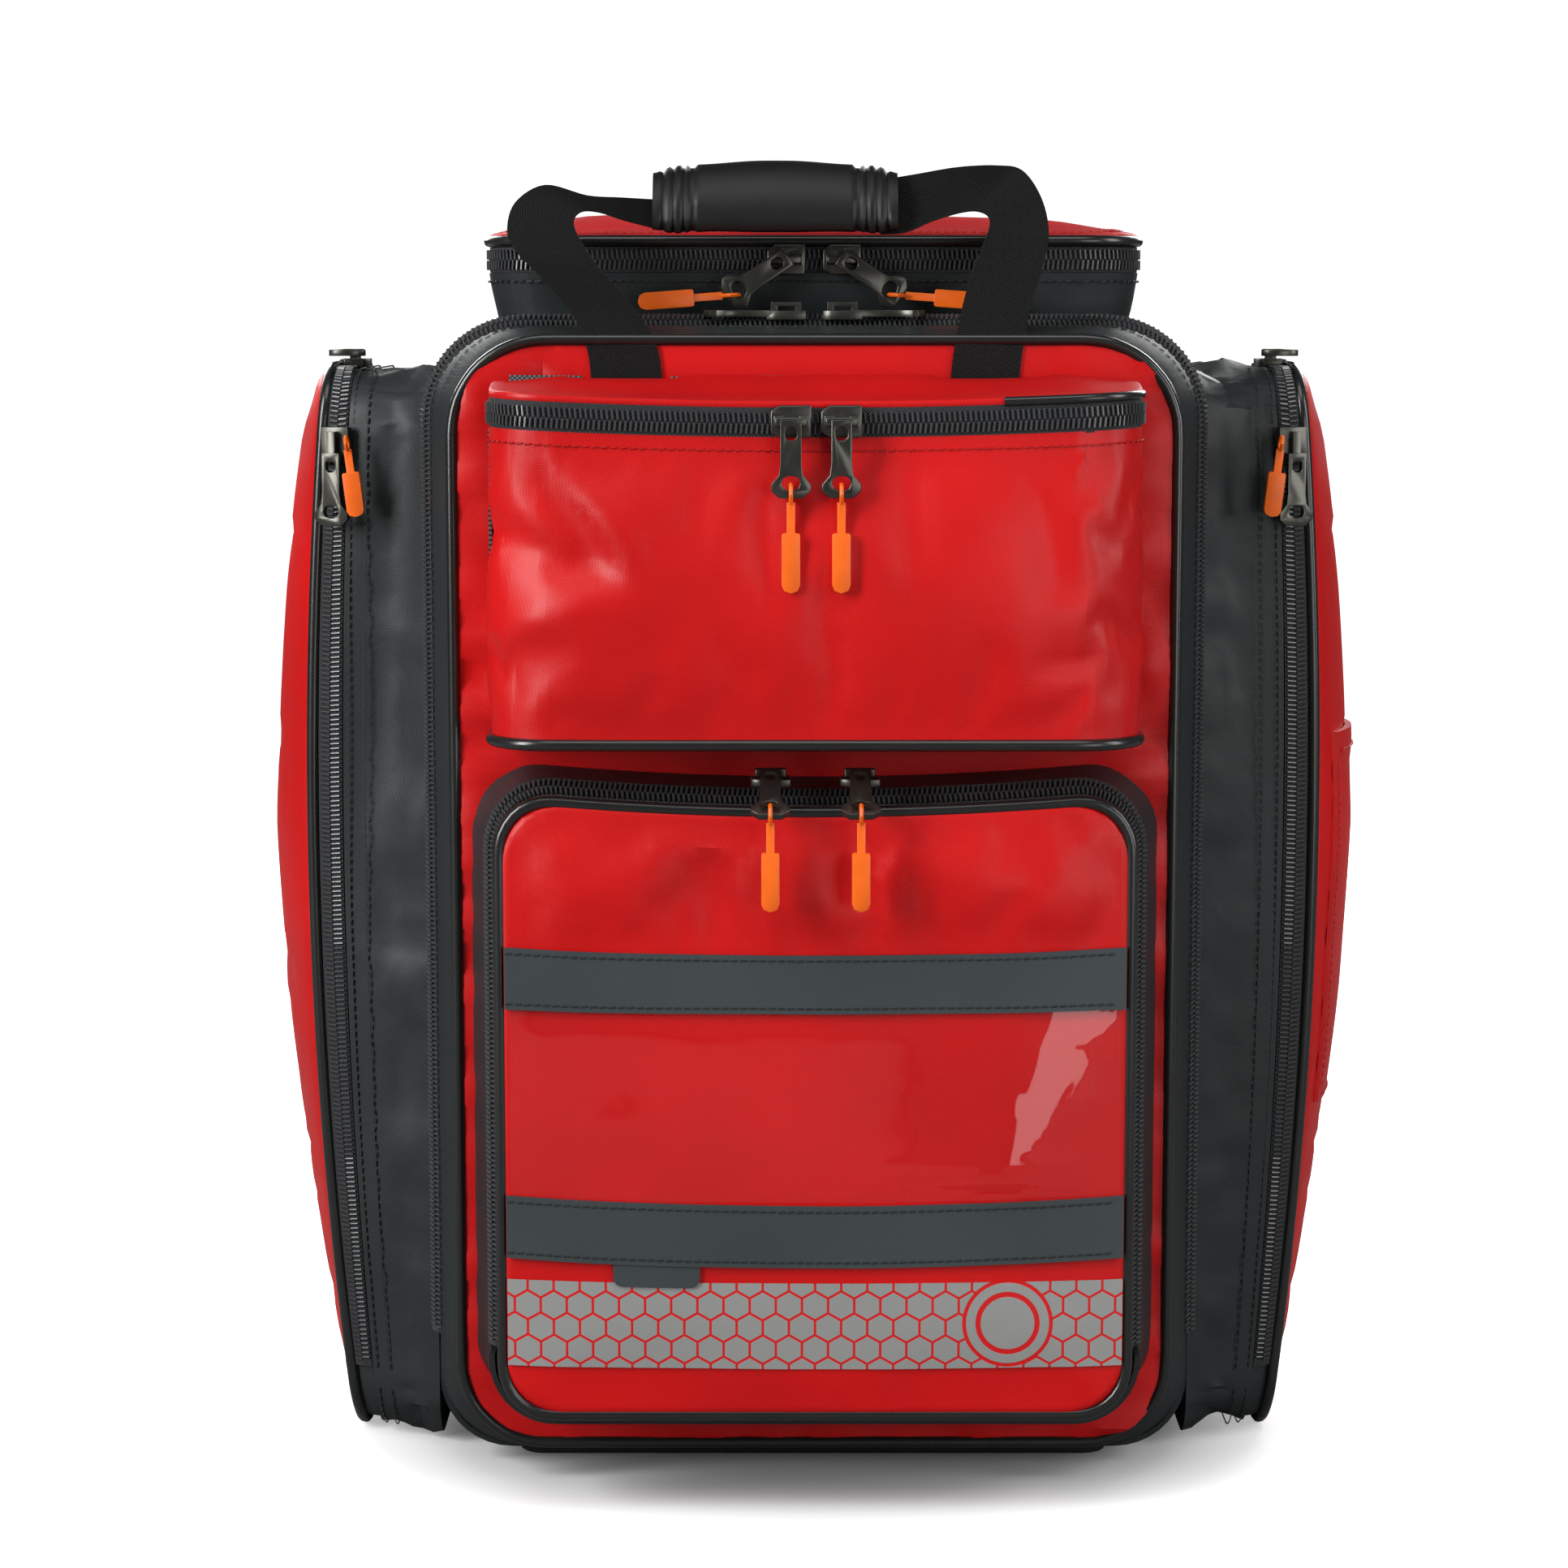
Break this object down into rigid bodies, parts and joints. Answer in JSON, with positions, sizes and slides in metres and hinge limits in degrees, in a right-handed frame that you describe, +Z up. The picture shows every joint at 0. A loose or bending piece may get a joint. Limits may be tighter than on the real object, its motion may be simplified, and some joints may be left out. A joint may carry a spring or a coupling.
{
  "type": "trauma backpack",
  "caption": "Upright coated-fabric emergency backpack with a zipped main compartment, a top pocket, front and side pockets, a folding carry handle and shoulder straps",
  "frame": {"origin": "middle of the base, on the ground", "axes": "+Z up, the front pockets face -Y, +X to the right of someone looking at the front"},
  "size_m": [0.5336, 0.3258, 0.614],
  "materials": {
    "red_fabric": "coated woven, satin",
    "grey_fabric": "coated woven, satin",
    "black_fabric": "woven, matt",
    "zip_tape": "coil zip on woven tape",
    "webbing": "twill webbing, matt",
    "slider_metal": "black nickel, satin",
    "pull_plastic": "moulded, satin",
    "lock_plastic": "moulded, satin",
    "grip_rubber": "moulded, matt",
    "clear_film": "clear film, glossy",
    "reflective_tape": "retroreflective, satin"
  },
  "bodies": {
    "pack_body": {"back_panel": "grey_fabric", "main_gusset": "grey_fabric", "base_panel": "black_fabric", "main_zip": "zip_tape", "top_pocket_walls": "grey_fabric", "top_zip": "zip_tape", "side_pocket_walls_left": "grey_fabric", "side_pocket_walls_right": "grey_fabric", "side_zip_left": "zip_tape", "side_zip_right": "zip_tape", "back_pad": "black_fabric", "shoulder_strap_left": "black_fabric", "shoulder_strap_right": "black_fabric", "ladder_lock_left": "lock_plastic", "ladder_lock_right": "lock_plastic", "strap_webbing_left": "webbing", "strap_webbing_right": "webbing"},
    "front": {"front_panel": "red_fabric", "front_gusset": "grey_fabric", "upper_pocket_walls": "red_fabric", "upper_zip": "zip_tape", "lower_pocket_walls": "grey_fabric", "lower_zip": "zip_tape"},
    "upper_lid": {"upper_lid": "red_fabric"},
    "lower_flap": {"lower_cover": "red_fabric", "trim_band_upper": "grey_fabric", "trim_band_lower": "grey_fabric", "document_window": "clear_film", "reflective_band": "reflective_tape", "label_tab": "black_fabric"},
    "top_lid": {"top_lid": "red_fabric"},
    "side_flap_left": {"side_cover_left": "red_fabric"},
    "side_flap_right": {"side_cover_right": "red_fabric", "patch_pocket": "red_fabric"},
    "carry_handle": {"handle_webbing": "webbing", "handle_grip": "grip_rubber"},
    "main_slider_left": {"main_slider_left": "slider_metal"},
    "upper_slider_left": {"upper_slider_left": "slider_metal"},
    "lower_slider_left": {"lower_slider_left": "slider_metal"},
    "top_slider_left": {"top_slider_left": "slider_metal"},
    "side_front_slider_left": {"side_front_slider_left": "slider_metal"},
    "side_top_slider_left": {"side_top_slider_left": "slider_metal"},
    "upper_tab_left": {"upper_left_tab": "slider_metal"},
    "upper_pull_left": {"upper_left_pull": "pull_plastic"},
    "lower_tab_left": {"lower_left_tab": "slider_metal"},
    "lower_pull_left": {"lower_left_pull": "pull_plastic"},
    "top_tab_left": {"top_left_tab": "slider_metal"},
    "top_pull_left": {"top_left_pull": "pull_plastic"},
    "main_slider_right": {"main_slider_right": "slider_metal"},
    "upper_slider_right": {"upper_slider_right": "slider_metal"},
    "lower_slider_right": {"lower_slider_right": "slider_metal"},
    "top_slider_right": {"top_slider_right": "slider_metal"},
    "side_front_slider_right": {"side_front_slider_right": "slider_metal"},
    "side_top_slider_right": {"side_top_slider_right": "slider_metal"},
    "upper_tab_right": {"upper_right_tab": "slider_metal"},
    "upper_pull_right": {"upper_right_pull": "pull_plastic"},
    "lower_tab_right": {"lower_right_tab": "slider_metal"},
    "lower_pull_right": {"lower_right_pull": "pull_plastic"},
    "top_tab_right": {"top_right_tab": "slider_metal"},
    "top_pull_right": {"top_right_pull": "pull_plastic"}
  },
  "joints": [
    {"name": "main_open", "type": "hinge", "parent": "pack_body", "child": "front", "pos_m": [0, -0.028, 0.008], "axis": [1, 0, 0], "range_deg": [0, 90]},
    {"name": "top_lid_open", "type": "hinge", "parent": "pack_body", "child": "top_lid", "pos_m": [0, 0.118, 0.5773], "axis": [-1, 0, 0], "range_deg": [0, 95]},
    {"name": "upper_lid_open", "type": "hinge", "parent": "front", "child": "upper_lid", "pos_m": [0, -0.0743, 0.514], "axis": [-1, 0, 0], "range_deg": [0, 70]},
    {"name": "lower_cover_open", "type": "hinge", "parent": "front", "child": "lower_flap", "pos_m": [0, -0.116, 0.0423], "axis": [1, 0, 0], "range_deg": [0, 90]},
    {"name": "left_cover_open", "type": "hinge", "parent": "pack_body", "child": "side_flap_left", "pos_m": [-0.2373, 0.118, 0.3], "axis": [0, 0, -1], "range_deg": [0, 100]},
    {"name": "right_cover_open", "type": "hinge", "parent": "pack_body", "child": "side_flap_right", "pos_m": [0.2373, 0.118, 0.3], "axis": [0, 0, 1], "range_deg": [0, 100]},
    {"name": "handle_swing", "type": "hinge", "parent": "front", "child": "carry_handle", "pos_m": [0, -0.0713, 0.515], "axis": [-1, 0, 0], "range_deg": [-70, 0]},
    {"name": "main_slider_left_run", "type": "slide", "parent": "pack_body", "child": "main_slider_left", "axis": [-1, 0, 0], "range_m": [0, 0.105]},
    {"name": "upper_slider_left_run", "type": "slide", "parent": "front", "child": "upper_slider_left", "axis": [-1, 0, 0], "range_m": [0, 0.095]},
    {"name": "lower_slider_left_run", "type": "slide", "parent": "lower_flap", "child": "lower_slider_left", "axis": [-1, 0, 0], "range_m": [0, 0.08]},
    {"name": "top_slider_left_run", "type": "slide", "parent": "pack_body", "child": "top_slider_left", "axis": [-1, 0, 0], "range_m": [0, 0.1]},
    {"name": "side_front_slider_left_run", "type": "hinge", "parent": "pack_body", "child": "side_front_slider_left", "pos_m": [1.8623, -0.80386, 0.3], "axis": [-0.3575, -0.9339, 0], "range_deg": [0, 9.8]},
    {"name": "side_top_slider_left_run", "type": "slide", "parent": "pack_body", "child": "side_top_slider_left", "axis": [0, 1, 0], "range_m": [0, 0.04]},
    {"name": "upper_tab_left_swing", "type": "hinge", "parent": "upper_slider_left", "child": "upper_tab_left", "pos_m": [-0.011, -0.1456, 0.503], "axis": [0, 1, 0], "range_deg": [0, 75]},
    {"name": "lower_tab_left_lift", "type": "hinge", "parent": "lower_slider_left", "child": "lower_tab_left", "pos_m": [-0.02, -0.119, 0.3477], "axis": [-1, 0, 0], "range_deg": [0, 35]},
    {"name": "top_tab_left_swing", "type": "hinge", "parent": "top_slider_left", "child": "top_tab_left", "pos_m": [-0.013, -0.0226, 0.572], "axis": [0, 1, 0], "range_deg": [0, 30]},
    {"name": "upper_pull_left_lift", "type": "hinge", "parent": "upper_tab_left", "child": "upper_pull_left", "pos_m": [-0.011, -0.1456, 0.4718], "axis": [-1, 0, 0], "range_deg": [0, 90]},
    {"name": "lower_pull_left_lift", "type": "hinge", "parent": "lower_tab_left", "child": "lower_pull_left", "pos_m": [-0.02, -0.14606, 0.33218], "axis": [-1, 0, 0], "range_deg": [0, 60]},
    {"name": "top_pull_left_lift", "type": "hinge", "parent": "top_tab_left", "child": "top_pull_left", "pos_m": [-0.03891, -0.0226, 0.55462], "axis": [0, 0, 1], "range_deg": [0, 60]},
    {"name": "main_slider_right_run", "type": "slide", "parent": "pack_body", "child": "main_slider_right", "axis": [1, 0, 0], "range_m": [0, 0.105]},
    {"name": "upper_slider_right_run", "type": "slide", "parent": "front", "child": "upper_slider_right", "axis": [1, 0, 0], "range_m": [0, 0.095]},
    {"name": "lower_slider_right_run", "type": "slide", "parent": "lower_flap", "child": "lower_slider_right", "axis": [1, 0, 0], "range_m": [0, 0.08]},
    {"name": "top_slider_right_run", "type": "slide", "parent": "pack_body", "child": "top_slider_right", "axis": [1, 0, 0], "range_m": [0, 0.1]},
    {"name": "side_front_slider_right_run", "type": "hinge", "parent": "pack_body", "child": "side_front_slider_right", "pos_m": [-1.8623, -0.80386, 0.3], "axis": [-0.3575, 0.9339, 0], "range_deg": [0, 9.8]},
    {"name": "side_top_slider_right_run", "type": "slide", "parent": "pack_body", "child": "side_top_slider_right", "axis": [0, 1, 0], "range_m": [0, 0.04]},
    {"name": "upper_tab_right_swing", "type": "hinge", "parent": "upper_slider_right", "child": "upper_tab_right", "pos_m": [0.011, -0.1456, 0.503], "axis": [0, -1, 0], "range_deg": [0, 75]},
    {"name": "lower_tab_right_lift", "type": "hinge", "parent": "lower_slider_right", "child": "lower_tab_right", "pos_m": [0.02, -0.119, 0.3477], "axis": [-1, 0, 0], "range_deg": [0, 35]},
    {"name": "top_tab_right_swing", "type": "hinge", "parent": "top_slider_right", "child": "top_tab_right", "pos_m": [0.013, -0.0226, 0.572], "axis": [0, -1, 0], "range_deg": [0, 30]},
    {"name": "upper_pull_right_lift", "type": "hinge", "parent": "upper_tab_right", "child": "upper_pull_right", "pos_m": [0.011, -0.1456, 0.4718], "axis": [-1, 0, 0], "range_deg": [0, 90]},
    {"name": "lower_pull_right_lift", "type": "hinge", "parent": "lower_tab_right", "child": "lower_pull_right", "pos_m": [0.02, -0.14606, 0.33218], "axis": [-1, 0, 0], "range_deg": [0, 60]},
    {"name": "top_pull_right_lift", "type": "hinge", "parent": "top_tab_right", "child": "top_pull_right", "pos_m": [0.03891, -0.0226, 0.55462], "axis": [0, 0, -1], "range_deg": [0, 60]}
  ]
}
